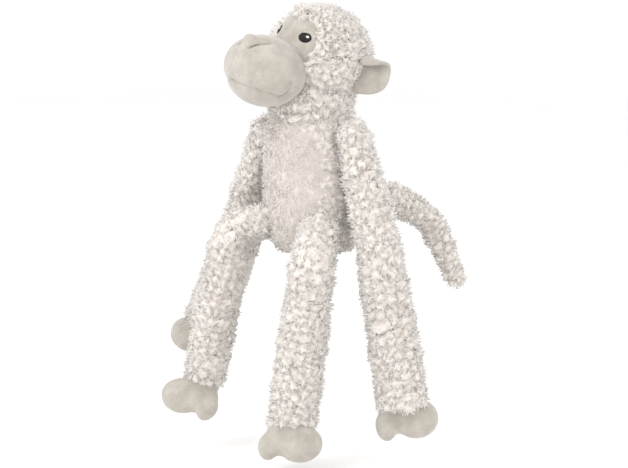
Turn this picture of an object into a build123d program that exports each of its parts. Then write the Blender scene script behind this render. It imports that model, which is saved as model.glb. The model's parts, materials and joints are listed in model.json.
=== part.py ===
from build123d import *
import os

# A stuffed monkey that sits on a flat seat with its arms and shins hanging.
# Millimetres. +Z is up, the monkey faces -Y, and its own left side is +X.
# The origin is the centre of the flat seat face under the rump.
# Sleeves, shells and panels are the sewn fabric, taken to the middle of its pile.
# Each closed shell holds a core of loose stuffing.

os.makedirs("parts", exist_ok=True)

# ---- fabric and clearances
FABRIC = 2.5          # pile fabric with its backing
FLEX_GAP = 0.6        # room at each soft joint, where the real sleeve folds
TOUCH = 0.05          # clearance between pieces that are sewn face to face
THREAD = 1.2          # stitching thread

# ---- head, in its own frame: +X its left, -Y its nose, +Z its crown
HEAD_CENTRE = (0, 4, 171)
HEAD_TURN = -13       # degrees about Z, towards its right
HEAD_PITCH = -12      # degrees about X, nose up
HEAD_ROLL = 10        # degrees about Y, left ear down
HEAD_R = 42
MUZZLE_CENTRE = (0, -53, -24)
MUZZLE_SEMI = (39, 34, 31)
NOSE_CENTRE = (0, -71, -4)
NOSE_SEMI = (12, 10, 8)
MOUTH_Z = -36         # height of the mouth seam at the middle of the muzzle
MOUTH_TILT = -8       # degrees about X
FACE_Z = 12
FACE_HALF = (28, 25)  # half width and half height of the face patch
EYE_X = 20
EYE_Z = 13
EYE_HALF = (5.5, 4.2)
EYE_RAISE = 1.2
HIGHLIGHT_HALF = (1.6, 1.2)
NOSTRIL_X = 6
NOSTRIL_LENGTH = 9
EAR_ROOT = (39, 15, -1)
EAR_CENTRE_OUT = 17   # from the ear's root to its middle
EAR_SEMI = (16, 5, 20)
EAR_SWEEP = 35        # degrees that the ear's edge is swept back

# ---- neck
NECK_PIVOT = (-6, -6, 128.5)
NECK_R = 13

# ---- torso, a body of revolution that leans over the seat: corners of its outline,
# the round at each, and its lean in degrees
TORSO_TOP = 126
TORSO_FOOT = -12      # the outline starts below the seat face, which cuts it off level
TORSO_CORNERS = [(28, TORSO_FOOT), (43, 45), (38, 108), (22, TORSO_TOP)]
TORSO_ROUNDS = [14, 40, 18, 9]
LEAN_FORWARD = 2.7
LEAN_RIGHT = 2.7
RELIEF_DEPTH = 14     # the seam around a thigh or the tail opens this deep
RELIEF_FLARE = 8      # and this much wider than its ball
BELLY_HALF = (25, 50)  # half width and half height of the smooth belly panel
BELLY_Z = 66

# ---- arms
SHOULDER_R = 12
SHOULDER_GATHER_R = 9
ARM_R = 19
WRIST_R = 18.5
UPPER_ARM_LENGTH = 102
FOREARM_LENGTH = 124
ELBOW_TRIM = 18.5     # the upper sleeve stops this far short of the elbow
HAND_NECK_R = 9
LEFT_SHOULDER = (47.5, -7, 103)
LEFT_ELBOW_WAY = (34, -5, -96)
LEFT_WRIST_WAY = (17, 8, -114)
LEFT_HAND_WAY = (3, 2, -26)
RIGHT_SHOULDER = (-56, -8, 102)
RIGHT_ELBOW_WAY = (-41, 10, -93)
RIGHT_WRIST_WAY = (-72, 24, -97)
RIGHT_HAND_WAY = (-8, -7, -23)

# ---- legs
HIP_R = 14
HIP_GATHER_R = 8.5
LEG_R = 20
ANKLE_R = 18.5
THIGH_LENGTH = 44
SHIN_LENGTH = 144
KNEE_TRIM = 20.5
FOOT_NECK_R = 9
LEFT_HIP = (25, -22, 27)
LEFT_KNEE_WAY = (21, -38, -29)
LEFT_ANKLE_WAY = (-13, -12, -144)
LEFT_TOE_WAY = (11, -17, -16)
RIGHT_HIP = (-25, -22, 27)
RIGHT_KNEE_WAY = (-26, -30, -7)
RIGHT_ANKLE_WAY = (-27, -11, -141)
RIGHT_TOE_WAY = (4, -18, -13)

# ---- paws, each a mitten with a big lobe and a thumb lobe: centres and half sizes
# in a frame with +Z from the wrist or ankle to the tips and +X towards the big lobe
END_GAP = 6           # the sleeve's hem stops this far short of the wrist or ankle
PAW_LOBES = [
    ((10, 0, 25), (19, 12, 17)),
    ((-17, 0, 28), (9, 8.5, 13)),
    ((-2, 0, 21), (16, 11, 12)),
]
LEFT_HAND_ACROSS = (20, 18, 0)
RIGHT_HAND_ACROSS = (-20, -18, 0)
LEFT_FOOT_ACROSS = (26, 15, 0)
RIGHT_FOOT_ACROSS = (-20, -18, 0)

# ---- tail
TAIL_ROOT = (5, 38, 35)
TAIL_GATHER_R = 7
TAIL_WAY = (19, 38, 7)
TAIL_POINTS = [(24, 76, 42), (45, 110, 16), (58, 129, -36)]
TAIL_RADII = [10.5, 11, 10, 7.5]


def toward(start, way, length):
    """The point at a distance from start in a given way."""
    step = Vector(*way).normalized() * length
    return tuple(Vector(*start) + step)


LEFT_ELBOW = toward(LEFT_SHOULDER, LEFT_ELBOW_WAY, UPPER_ARM_LENGTH)
LEFT_WRIST = toward(LEFT_ELBOW, LEFT_WRIST_WAY, FOREARM_LENGTH)
RIGHT_ELBOW = toward(RIGHT_SHOULDER, RIGHT_ELBOW_WAY, UPPER_ARM_LENGTH)
RIGHT_WRIST = toward(RIGHT_ELBOW, RIGHT_WRIST_WAY, FOREARM_LENGTH)
LEFT_KNEE = toward(LEFT_HIP, LEFT_KNEE_WAY, THIGH_LENGTH)
LEFT_ANKLE = toward(LEFT_KNEE, LEFT_ANKLE_WAY, SHIN_LENGTH)
RIGHT_KNEE = toward(RIGHT_HIP, RIGHT_KNEE_WAY, THIGH_LENGTH)
RIGHT_ANKLE = toward(RIGHT_KNEE, RIGHT_ANKLE_WAY, SHIN_LENGTH)
HEAD = Pos(*HEAD_CENTRE) * Rot(Z=HEAD_TURN) * Rot(X=HEAD_PITCH) * Rot(Y=HEAD_ROLL)

nodes = {}


def save(name, shape):
    """Keep a node and write it as a STEP file."""
    shape.label = name
    nodes[name] = shape
    export_step(shape, f"parts/{name}.step")


def ball(centre, radius):
    return Pos(*centre) * Sphere(radius)


def ellipsoid(centre, semi):
    return Pos(*centre) * scale(Sphere(1), by=semi)


def smaller(semi, inset):
    return tuple(s - inset for s in semi)


def frustum(start, end, start_r, end_r):
    """A round, tapered solid between two points."""
    axis = Vector(*end) - Vector(*start)
    base = (Align.CENTER, Align.CENTER, Align.MIN)
    return Plane(origin=start, z_dir=axis) * Cone(start_r, end_r, axis.length, align=base)


def turned(outline):
    """The solid that an outline in (radius, height) makes about +Z."""
    right_half = Rectangle(1000, 2000, align=(Align.MIN, Align.CENTER))
    return revolve(Plane.XZ * (outline & right_half), Axis.Z)


def frame_at(point, way, across):
    """A frame at a point with +Z along a way and +X near another way."""
    z = Vector(*way).normalized()
    x = Vector(*across)
    x = (x - z * x.dot(z)).normalized()
    return Plane(origin=point, x_dir=x, z_dir=z)


# ---- sleeves


def sleeve_outline(length, start_r, end_r, room, inset):
    """A ball at the joint and a tapered tube, less its room: height, radius, own lining."""
    width, end_width, end = start_r - inset, end_r - inset, length - inset
    tube = Polygon((0, 0), (width, 0), (end_width, end), (-end_width, end), (-width, 0), align=None)
    outline = Circle(width) + tube
    for height, radius, lining in room:
        outline -= Pos(0, height) * Circle(radius + FLEX_GAP + inset * lining)
    return outline


def sleeve(name, start, end, start_r, end_r, trim, gather_r, next_r):
    """A fur sleeve that stops short of its far end, and the stuffing inside it."""
    axis = Vector(*end) - Vector(*start)
    room = [(axis.length, next_r, 1)]
    if gather_r:
        room.append((0, gather_r, 0))
    place = Plane(origin=start, z_dir=axis)
    outer = sleeve_outline(axis.length - trim, start_r, end_r, room, 0)
    inner = sleeve_outline(axis.length - trim, start_r, end_r, room, FABRIC)
    save(f"{name}_fur", place * turned(outer - inner))
    save(f"{name}_stuffing", place * turned(inner))


# ---- paws


def paw_solid(neck_r, inset):
    width = neck_r - inset
    neck_length = PAW_LOBES[0][0][2] / 2
    neck = Circle(width) + Rectangle(2 * width, neck_length, align=(Align.CENTER, Align.MIN))
    solid = turned(neck)
    for centre, semi in PAW_LOBES:
        solid += ellipsoid(centre, smaller(semi, inset))
    return solid


def paw(name, front, back, place, neck_r):
    """Two fabric panels sewn around the edge, with stuffing between them."""
    core = paw_solid(neck_r, FABRIC)
    skin = paw_solid(neck_r, 0) - core
    half = Box(120, 60, 160, align=(Align.CENTER, Align.MIN, Align.CENTER))
    save(f"{name}_{front}", place * (skin & half))
    save(f"{name}_{back}", place * (skin - half))
    save(f"{name}_stuffing", place * core)


# ---- head


def head_part(name, shape):
    save(name, HEAD * shape)


def make_head():
    neck_room = ball(NECK_PIVOT, NECK_R + FLEX_GAP)
    core_room = ball(NECK_PIVOT, NECK_R + FLEX_GAP + FABRIC)
    core = HEAD * Sphere(HEAD_R - FABRIC) - core_room
    skin = HEAD * Sphere(HEAD_R) - neck_room - core
    patch = Pos(0, 0, FACE_Z) * extrude(Plane.XZ * Ellipse(*FACE_HALF), amount=80)
    save("head_fur", skin - HEAD * patch)
    save("face_patch", skin & HEAD * patch)
    save("head_stuffing", core)


def make_muzzle():
    ahead_of_head = Sphere(HEAD_R + TOUCH)
    core = ellipsoid(MUZZLE_CENTRE, smaller(MUZZLE_SEMI, FABRIC)) - Sphere(HEAD_R + FABRIC)
    skin = ellipsoid(MUZZLE_CENTRE, MUZZLE_SEMI) - ahead_of_head
    skin += ellipsoid(NOSE_CENTRE, NOSE_SEMI)
    skin -= core
    lower = Pos(0, MUZZLE_CENTRE[1], MOUTH_Z) * Rot(X=MOUTH_TILT)
    lower *= Box(150, 150, 60, align=(Align.CENTER, Align.CENTER, Align.MAX))
    head_part("muzzle_upper", skin - lower)
    head_part("muzzle_lower", skin & lower)
    head_part("muzzle_stuffing", core)
    welt = ellipsoid(MUZZLE_CENTRE, smaller(MUZZLE_SEMI, -THREAD / 2))
    welt -= ellipsoid(MUZZLE_CENTRE, smaller(MUZZLE_SEMI, -TOUCH))
    welt -= Sphere(HEAD_R + THREAD)
    welt &= Pos(0, MUZZLE_CENTRE[1], MOUTH_Z) * Rot(X=MOUTH_TILT) * Box(150, 150, THREAD)
    head_part("mouth_stitching", welt)
    stitches = None
    for side in (-1, 1):
        line = Pos(side * NOSTRIL_X, NOSE_CENTRE[1], NOSE_CENTRE[2]) * Rot(Z=side * 25)
        line *= Box(THREAD, NOSTRIL_LENGTH, 60, align=(Align.CENTER, Align.CENTER, Align.MIN))
        stitches = line if stitches is None else stitches + line
    thread = ellipsoid(NOSE_CENTRE, smaller(NOSE_SEMI, -THREAD / 2))
    thread -= ellipsoid(NOSE_CENTRE, smaller(NOSE_SEMI, -TOUCH))
    thread -= ellipsoid(MUZZLE_CENTRE, smaller(MUZZLE_SEMI, -TOUCH))
    head_part("nostril_stitching", thread & stitches)


def pad_on_head(x, z, half, low, high):
    """A thin embroidered pad on the head, between two heights above its fabric."""
    column = Pos(x, 0, z) * extrude(Plane.XZ * Ellipse(*half), amount=80)
    return (Sphere(HEAD_R + high) - Sphere(HEAD_R + low)) & column


def make_eyes():
    for side, x in (("left", EYE_X), ("right", -EYE_X)):
        head_part(f"{side}_eye", pad_on_head(x, EYE_Z, EYE_HALF, TOUCH, EYE_RAISE))
        shine = pad_on_head(x + 1.5, EYE_Z + 1, HIGHLIGHT_HALF, EYE_RAISE + TOUCH, EYE_RAISE + 0.6)
        head_part(f"{side}_eye_highlight", shine)


def make_ears():
    for side, sign in (("left", 1), ("right", -1)):
        root = (sign * EAR_ROOT[0], EAR_ROOT[1], EAR_ROOT[2])
        place = Pos(*root) * Rot(Z=sign * EAR_SWEEP)
        ear = ellipsoid((sign * EAR_CENTRE_OUT, 0, 0), EAR_SEMI)
        ear -= Rot(Z=-sign * EAR_SWEEP) * ball(tuple(-c for c in root), HEAD_R + FLEX_GAP)
        front = Box(120, 60, 120, align=(Align.CENTER, Align.MAX, Align.CENTER))
        head_part(f"{side}_ear_front", place * (ear & front))
        head_part(f"{side}_ear_back", place * (ear - front))


# ---- torso


def torso_solid(inset):
    left_side = [(-x, y) for x, y in reversed(TORSO_CORNERS)]
    outline = Polygon(*TORSO_CORNERS, *left_side, align=None)
    for (x, y), radius in zip(TORSO_CORNERS, TORSO_ROUNDS):
        corners = outline.vertices().filter_by(lambda v: abs(abs(v.X) - x) + abs(v.Y - y) < TOUCH)
        outline = fillet(corners, radius)
    if inset:
        outline = offset(outline, -inset)
    below = Box(200, 200, 60, align=(Align.CENTER, Align.CENTER, Align.MAX))
    return Rot(X=LEAN_FORWARD) * Rot(Y=-LEAN_RIGHT) * turned(outline) - Pos(0, 0, inset) * below


def seam_mouth(pivot, way, radius, inset):
    """The flared mouth that a thigh or the tail needs as it swings in its seam."""
    start_r = radius + FLEX_GAP + inset
    return frustum(pivot, toward(pivot, way, RELIEF_DEPTH), start_r, start_r + RELIEF_FLARE)


def make_torso():
    sockets = [
        (NECK_PIVOT, NECK_R),
        (LEFT_SHOULDER, SHOULDER_R),
        (RIGHT_SHOULDER, SHOULDER_R),
        (LEFT_HIP, HIP_R),
        (RIGHT_HIP, HIP_R),
        (TAIL_ROOT, TAIL_RADII[0]),
    ]
    whole = torso_solid(0)
    core = torso_solid(FABRIC)
    for centre, radius in sockets:
        whole -= ball(centre, radius + FLEX_GAP)
        core -= ball(centre, radius + FLEX_GAP + FABRIC)
    mouths = [
        (LEFT_HIP, LEFT_KNEE_WAY, HIP_R),
        (RIGHT_HIP, RIGHT_KNEE_WAY, HIP_R),
        (TAIL_ROOT, TAIL_WAY, TAIL_RADII[0]),
    ]
    for pivot, way, radius in mouths:
        whole -= seam_mouth(pivot, way, radius, 0)
        core -= seam_mouth(pivot, way, radius, FABRIC)
    skin = whole - core
    panel = Pos(0, 0, BELLY_Z) * extrude(Plane.XZ * Ellipse(*BELLY_HALF), amount=80)
    belly = (skin & panel).solids().sort_by(SortBy.VOLUME)[-1]
    save("torso_fur", skin - belly)
    save("belly_panel", belly)
    save("torso_stuffing", core)


# ---- the whole monkey

make_torso()
save("neck_gather", ball(NECK_PIVOT, NECK_R))
make_head()
make_muzzle()
make_eyes()
make_ears()

ARMS = {
    "left": (LEFT_SHOULDER, LEFT_ELBOW, LEFT_WRIST, LEFT_HAND_WAY, LEFT_HAND_ACROSS),
    "right": (RIGHT_SHOULDER, RIGHT_ELBOW, RIGHT_WRIST, RIGHT_HAND_WAY, RIGHT_HAND_ACROSS),
}
for side, (shoulder, elbow, wrist, hand_way, across) in ARMS.items():
    save(f"{side}_shoulder_gather", ball(shoulder, SHOULDER_GATHER_R))
    sleeve(
        f"{side}_upper_arm", shoulder, elbow, SHOULDER_R, ARM_R, ELBOW_TRIM, SHOULDER_GATHER_R, ARM_R
    )
    sleeve(f"{side}_forearm", elbow, wrist, ARM_R, WRIST_R, END_GAP, 0, HAND_NECK_R)
    place = frame_at(wrist, hand_way, across)
    paw(f"{side}_hand", "palm", "back", place, HAND_NECK_R)

LEGS = {
    "left": (LEFT_HIP, LEFT_KNEE, LEFT_ANKLE, LEFT_TOE_WAY, LEFT_FOOT_ACROSS),
    "right": (RIGHT_HIP, RIGHT_KNEE, RIGHT_ANKLE, RIGHT_TOE_WAY, RIGHT_FOOT_ACROSS),
}
for side, (hip, knee, ankle, toe_way, across) in LEGS.items():
    save(f"{side}_hip_gather", ball(hip, HIP_GATHER_R))
    sleeve(f"{side}_thigh", hip, knee, HIP_R, LEG_R - 2, KNEE_TRIM, HIP_GATHER_R, LEG_R)
    sleeve(f"{side}_shin", knee, ankle, LEG_R, ANKLE_R, END_GAP, 0, FOOT_NECK_R)
    place = frame_at(ankle, toe_way, across)
    paw(f"{side}_foot", "sole", "top", place, FOOT_NECK_R)

save("tail_gather", ball(TAIL_ROOT, TAIL_GATHER_R))
tail_joints = [TAIL_ROOT] + TAIL_POINTS
for index, name in enumerate(("tail_base", "tail_middle")):
    start_r, end_r = TAIL_RADII[index], TAIL_RADII[index + 1]
    gather_r = TAIL_GATHER_R if index == 0 else 0
    start, end = tail_joints[index], tail_joints[index + 1]
    sleeve(name, start, end, start_r, end_r, end_r * 0.8, gather_r, end_r)
tip_axis = Vector(*tail_joints[3]) - Vector(*tail_joints[2])
tip_place = Plane(origin=tail_joints[2], z_dir=tip_axis)
tip_outline, tip_core = [
    sleeve_outline(tip_axis.length, TAIL_RADII[2], TAIL_RADII[3], [], inset)
    + Pos(0, tip_axis.length) * Circle(TAIL_RADII[3] - inset)
    for inset in (0, FABRIC)
]
save("tail_tip_fur", tip_place * turned(tip_outline - tip_core))
save("tail_tip_stuffing", tip_place * turned(tip_core))
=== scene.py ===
import json
import math

import bpy
import numpy as np
from mathutils import Matrix, Vector


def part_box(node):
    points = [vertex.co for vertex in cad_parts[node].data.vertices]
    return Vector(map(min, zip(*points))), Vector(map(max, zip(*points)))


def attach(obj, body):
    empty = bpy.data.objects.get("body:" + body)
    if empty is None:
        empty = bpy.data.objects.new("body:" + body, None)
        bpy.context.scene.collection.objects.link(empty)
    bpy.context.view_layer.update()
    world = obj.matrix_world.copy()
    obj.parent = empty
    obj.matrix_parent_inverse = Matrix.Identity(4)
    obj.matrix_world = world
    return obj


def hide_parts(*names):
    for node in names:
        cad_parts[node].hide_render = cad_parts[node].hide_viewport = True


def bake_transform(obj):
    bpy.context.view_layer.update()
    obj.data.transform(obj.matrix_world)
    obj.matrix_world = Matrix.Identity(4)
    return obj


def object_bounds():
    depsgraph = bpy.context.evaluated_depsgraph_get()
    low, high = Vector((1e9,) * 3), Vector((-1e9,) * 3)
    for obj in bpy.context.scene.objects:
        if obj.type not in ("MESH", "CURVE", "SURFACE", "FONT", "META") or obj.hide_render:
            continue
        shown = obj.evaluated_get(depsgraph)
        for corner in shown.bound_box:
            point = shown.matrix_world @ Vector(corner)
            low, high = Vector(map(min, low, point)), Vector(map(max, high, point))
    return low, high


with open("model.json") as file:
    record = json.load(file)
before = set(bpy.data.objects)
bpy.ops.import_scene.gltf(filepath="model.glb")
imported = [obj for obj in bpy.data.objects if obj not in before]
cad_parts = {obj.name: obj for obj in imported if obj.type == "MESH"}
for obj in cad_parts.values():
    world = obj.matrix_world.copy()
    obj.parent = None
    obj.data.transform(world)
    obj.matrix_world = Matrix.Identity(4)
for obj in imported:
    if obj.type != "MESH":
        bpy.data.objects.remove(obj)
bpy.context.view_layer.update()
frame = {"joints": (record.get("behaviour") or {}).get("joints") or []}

MM = 0.001

# ---- joints: pivots and axes come from the frame
PIVOT = {j["name"]: np.array(j["pos_m"]) for j in frame["joints"]}

# ---- head pose, as the CAD has it
HEAD_CENTRE = np.array([0, 4, 171]) * MM
HEAD_TURN, HEAD_PITCH, HEAD_ROLL = -13, -12, 10
HEAD_R = 42 * MM
HEAD_FRAME = (
    Matrix.Translation(Vector(HEAD_CENTRE))
    @ Matrix.Rotation(math.radians(HEAD_TURN), 4, "Z")
    @ Matrix.Rotation(math.radians(HEAD_PITCH), 4, "X")
    @ Matrix.Rotation(math.radians(HEAD_ROLL), 4, "Y")
)
HEAD_AXES = np.array(HEAD_FRAME.to_3x3())

# ---- camera
CAMERA_AZIMUTH = 42
CAMERA_ELEVATION = 8
CAMERA_DISTANCE = 1.333
CAMERA_LENS = 85
CAMERA_AIM = Vector((-0.0038, -0.0011, 0.0125))
FLOOR_DROP = 0.012


def unit(v):
    v = np.asarray(v, float)
    return v / np.linalg.norm(v, axis=-1, keepdims=True)


# ---------------------------------------------------------------- materials


def new_material(name):
    material = bpy.data.materials.new(name)
    material.use_nodes = True
    tree = material.node_tree
    return material, tree, tree.nodes["Principled BSDF"]


def node(tree, kind, **inputs):
    made = tree.nodes.new(kind)
    for key, value in inputs.items():
        made.inputs[key.replace("_", " ")].default_value = value
    return made


def mix_colours(tree, factor, first, second):
    mix = tree.nodes.new("ShaderNodeMix")
    mix.data_type = "RGBA"
    for socket, value in ((0, factor), (6, first), (7, second)):
        if isinstance(value, bpy.types.NodeSocket):
            tree.links.new(value, mix.inputs[socket])
        else:
            mix.inputs[socket].default_value = value
    return mix.outputs[2]


def ramp(tree, source, low, high, out_low=0.0, out_high=1.0):
    made = tree.nodes.new("ShaderNodeMapRange")
    made.inputs[1].default_value = low
    made.inputs[2].default_value = high
    made.inputs[3].default_value = out_low
    made.inputs[4].default_value = out_high
    tree.links.new(source, made.inputs[0])
    return made.outputs[0]


def noise(tree, scale, detail=3.0, roughness=0.6):
    where = tree.nodes.new("ShaderNodeTexCoord")
    made = node(tree, "ShaderNodeTexNoise", Scale=scale, Detail=detail, Roughness=roughness)
    tree.links.new(where.outputs["Object"], made.inputs["Vector"])
    return made.outputs["Fac"]


def curl_material(name, root, tip, warm):
    """Pile fibre: its own cream at its tip, with painted shade that darkens and warms it towards its root,
    each tuft a little different.
    """
    material, tree, shader = new_material(name)
    shader.inputs["Roughness"].default_value = 0.85
    shader.inputs["Sheen Weight"].default_value = 0.35
    shader.inputs["Sheen Roughness"].default_value = 0.6
    shader.inputs["Specular IOR Level"].default_value = 0.2
    along = tree.nodes.new("ShaderNodeAttribute")
    along.attribute_name = "along"
    tuft = tree.nodes.new("ShaderNodeAttribute")
    tuft.attribute_name = "tuft"
    # painted shade: the root colour darkens the base of each strand and the bottoms of the creases between
    # clumps
    shade = mix_colours(tree, ramp(tree, along.outputs["Fac"], 0.05, 0.75), root, tip)
    shade = mix_colours(tree, ramp(tree, tuft.outputs["Fac"], 0, 1, 0, 0.35), shade, warm)
    patchy = ramp(tree, noise(tree, 60), 0.35, 0.7, 0, 0.35)
    shade = mix_colours(tree, patchy, shade, warm)
    tree.links.new(shade, shader.inputs["Base Color"])
    return material


# The backing carries the dark root colour of the curls as painted shade, mottled at random towards a darker
# tone.
def backing_material(name, colour, shadow):
    material, tree, shader = new_material(name)
    shader.inputs["Roughness"].default_value = 0.95
    shade = mix_colours(tree, ramp(tree, noise(tree, 220), 0.35, 0.65), shadow, colour)
    tree.links.new(shade, shader.inputs["Base Color"])
    return material


def velboa_material(name, light, dark):
    """Short pile: a fine nap that catches the light unevenly."""
    material, tree, shader = new_material(name)
    shader.inputs["Roughness"].default_value = 0.8
    shader.inputs["Sheen Weight"].default_value = 0.5
    shader.inputs["Sheen Roughness"].default_value = 0.45
    shader.inputs["Specular IOR Level"].default_value = 0.2
    brushed = ramp(tree, noise(tree, 90, 4.0), 0.35, 0.68)
    nap = noise(tree, 1000, 2.0)
    shade = mix_colours(tree, brushed, light, dark)
    shade = mix_colours(tree, ramp(tree, nap, 0.35, 0.65, 0, 0.5), shade, dark)
    tree.links.new(shade, shader.inputs["Base Color"])
    bump = tree.nodes.new("ShaderNodeBump")
    bump.inputs["Strength"].default_value = 0.8
    bump.inputs["Distance"].default_value = 0.0006
    tree.links.new(nap, bump.inputs["Height"])
    tree.links.new(bump.outputs["Normal"], shader.inputs["Normal"])
    return material


def thread_material(name, light, dark, roughness):
    material, tree, shader = new_material(name)
    shader.inputs["Roughness"].default_value = roughness
    shader.inputs["Specular IOR Level"].default_value = 0.3
    shade = mix_colours(tree, ramp(tree, noise(tree, 1800), 0.4, 0.6), light, dark)
    tree.links.new(shade, shader.inputs["Base Color"])
    return material


# The root colours are painted shade for the bottoms of the pile; the tip colours are the fleece's own.
CURLS = curl_material(
    "cream_curls", (0.46, 0.36, 0.295, 1), (0.85, 0.825, 0.785, 1), (0.79, 0.74, 0.69, 1)
)
BELLY_CURLS = curl_material(
    "belly_curls", (0.60, 0.52, 0.46, 1), (0.80, 0.76, 0.715, 1), (0.75, 0.69, 0.635, 1)
)
# painted shade: these backing colours match the shaded roots of the curls
BACKING = backing_material("curl_backing", (0.72, 0.65, 0.58, 1), (0.60, 0.53, 0.47, 1))
VELBOA = velboa_material("greige_velboa", (0.53, 0.495, 0.445, 1), (0.39, 0.355, 0.31, 1))
BLACK_THREAD = thread_material("black_thread", (0.010, 0.009, 0.010, 1), (0.004, 0.004, 0.005, 1), 0.45)
WHITE_THREAD = thread_material("white_thread", (0.85, 0.85, 0.85, 1), (0.7, 0.7, 0.7, 1), 0.5)
SEAM_THREAD = thread_material("seam_thread", (0.20, 0.17, 0.14, 1), (0.12, 0.10, 0.085, 1), 0.8)


# ---------------------------------------------------------------- mesh tools


def mesh_object(name, points, faces, material, smooth=True):
    """A mesh object from an array of points and arrays of triangles or quads."""
    mesh = bpy.data.meshes.new(name)
    points = np.asarray(points, np.float32)
    mesh.vertices.add(len(points))
    mesh.vertices.foreach_set("co", points.ravel())
    corners = np.concatenate([np.asarray(f, np.int32).ravel() for f in faces])
    sizes = np.concatenate([np.full(len(f), f.shape[1], np.int32) for f in faces])
    mesh.loops.add(len(corners))
    mesh.loops.foreach_set("vertex_index", corners)
    mesh.polygons.add(len(sizes))
    starts = np.concatenate([[0], np.cumsum(sizes)[:-1]]).astype(np.int32)
    mesh.polygons.foreach_set("loop_start", starts)
    mesh.polygons.foreach_set("loop_total", sizes)
    mesh.polygons.foreach_set("use_smooth", np.full(len(sizes), smooth, bool))
    mesh.materials.append(material)
    mesh.update(calc_edges=True)
    mesh.validate()
    made = bpy.data.objects.new(name, mesh)
    bpy.context.scene.collection.objects.link(made)
    return made


def point_attribute(obj, name, values):
    attribute = obj.data.attributes.new(name, "FLOAT", "POINT")
    attribute.data.foreach_set("value", np.asarray(values, np.float32))


def grid_faces(rows, columns, wrap=True):
    """Quads between the rows and columns of a grid, closed across its columns if wrap."""
    last = columns if wrap else columns - 1
    row, column = np.meshgrid(np.arange(rows - 1), np.arange(last), indexing="ij")
    row, column = row.ravel(), column.ravel()
    beside = (column + 1) % columns
    return np.stack(
        [
            row * columns + column,
            row * columns + beside,
            (row + 1) * columns + beside,
            (row + 1) * columns + column,
        ],
        axis=1,
    )


def ball_grid(rows, columns):
    """Directions all round a ball, in rows from its +Z end to its -Z end."""
    polar = np.linspace(0.0, math.pi, rows)
    angle = np.linspace(0, 2 * math.pi, columns, endpoint=False)
    polar, angle = np.meshgrid(polar, angle, indexing="ij")
    ways = [np.sin(polar) * np.cos(angle), np.sin(polar) * np.sin(angle), np.cos(polar)]
    return np.stack([way.ravel() for way in ways], axis=1)


def part_of_grid(name, points, quads, material):
    """A mesh of some of a grid's quads, with only the points that they use."""
    used = np.unique(quads)
    renumber = np.zeros(len(points), int)
    renumber[used] = np.arange(len(used))
    return mesh_object(name, points[used], [renumber[quads]], material)


def applied(obj):
    """The object with its modifiers applied."""
    graph = bpy.context.evaluated_depsgraph_get()
    mesh = bpy.data.meshes.new_from_object(obj.evaluated_get(graph))
    obj.modifiers.clear()
    obj.data = mesh
    return obj


# ---------------------------------------------------------------- stuffed forms


SMOOTH_STEP = 3 * MM


class Form:
    """A stuffed form: a round outline turned about a line that may bend.

    The outline is (distance along the line, radius) in metres, from its start to its end.
    """

    def __init__(self, line, outline):
        self.line = np.array(line, float)
        self.outline = np.array(outline, float)
        steps = np.linalg.norm(np.diff(self.line, axis=0), axis=1)
        self.reach = np.concatenate([[0], np.cumsum(steps)])
        ways = np.gradient(self.line, self.reach, axis=0)
        self.ways = unit(ways)
        side = unit(np.cross(self.ways[0], [0.3, 1.0, 0.2]))
        sides = [side]
        for way in self.ways[1:]:
            side = unit(sides[-1] - way * (sides[-1] @ way))
            sides.append(side)
        self.sides = np.array(sides)
        length = np.linalg.norm(np.diff(self.outline, axis=0), axis=1)
        self.around = np.concatenate([[0], np.cumsum(length)])

    def along_line(self, distance, values):
        return np.stack([np.interp(distance, self.reach, values[:, k]) for k in range(3)], axis=1)

    def at(self, place, angle):
        """Points, normals and combing ways at places along the outline and angles about it."""
        s = np.interp(place, self.around, self.outline[:, 0])
        r = np.interp(place, self.around, self.outline[:, 1])
        ds = np.gradient(self.outline[:, 0], self.around)
        dr = np.gradient(self.outline[:, 1], self.around)
        ds = np.interp(place, self.around, ds)
        dr = np.interp(place, self.around, dr)
        scale = np.hypot(ds, dr) + 1e-12
        ds, dr = ds / scale, dr / scale
        centre = self.along_line(s, self.line)
        beyond = (s - np.clip(s, 0, self.reach[-1]))[:, None]
        way = unit(self.along_line(s, self.ways))
        side = self.along_line(s, self.sides)
        side = unit(side - way * np.sum(side * way, axis=1, keepdims=True))
        other = np.cross(way, side)
        radial = side * np.cos(angle)[:, None] + other * np.sin(angle)[:, None]
        points = centre + beyond * way + radial * r[:, None]
        normals = unit(radial * ds[:, None] - way * dr[:, None])
        combed = unit(way * ds[:, None] + radial * dr[:, None])
        return points, normals, combed

    def roots(self, rng, spacing, low=0.0, high=None):
        """Evenly jittered places for tufts between two distances along the outline."""
        high = self.around[-1] if high is None else high
        rows = max(1, int(round((high - low) / spacing)))
        places, angles = [], []
        for k in range(rows):
            place = low + (k + 0.5) * (high - low) / rows
            radius = np.interp(place, self.around, self.outline[:, 1])
            count = max(1, int(round(2 * math.pi * radius / spacing)))
            angle = (np.arange(count) + rng.uniform(-0.4, 0.4, count) + 0.5 * (k % 2)) / count
            places.append(place + rng.uniform(-0.4, 0.4, count) * spacing)
            angles.append(2 * math.pi * angle + k * 0.7)
        places = np.clip(np.concatenate(places), 0, self.around[-1])
        return self.at(places, np.concatenate(angles))

    def skin(self, name, material, columns):
        """The bare fabric, a closed smooth mesh."""
        rows = max(4, int(self.around[-1] / SMOOTH_STEP))
        places = np.linspace(0, self.around[-1], rows)
        angle = np.linspace(0, 2 * math.pi, columns, endpoint=False)
        grid_places = np.repeat(places, columns)
        points, _, _ = self.at(grid_places, np.tile(angle, rows))
        return mesh_object(name, points, [grid_faces(rows, columns)], material)


def ball_outline(radius, count):
    """The outline of a ball, for a Form whose line is a short stub at the ball's centre."""
    return [(-radius * math.cos(t), radius * math.sin(t)) for t in np.linspace(0, math.pi, count)]


def stub(centre, way=(0, 0, 1)):
    """A line of 1 mm from a ball's centre."""
    return [centre, centre + np.array(way) * 0.001]


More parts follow.
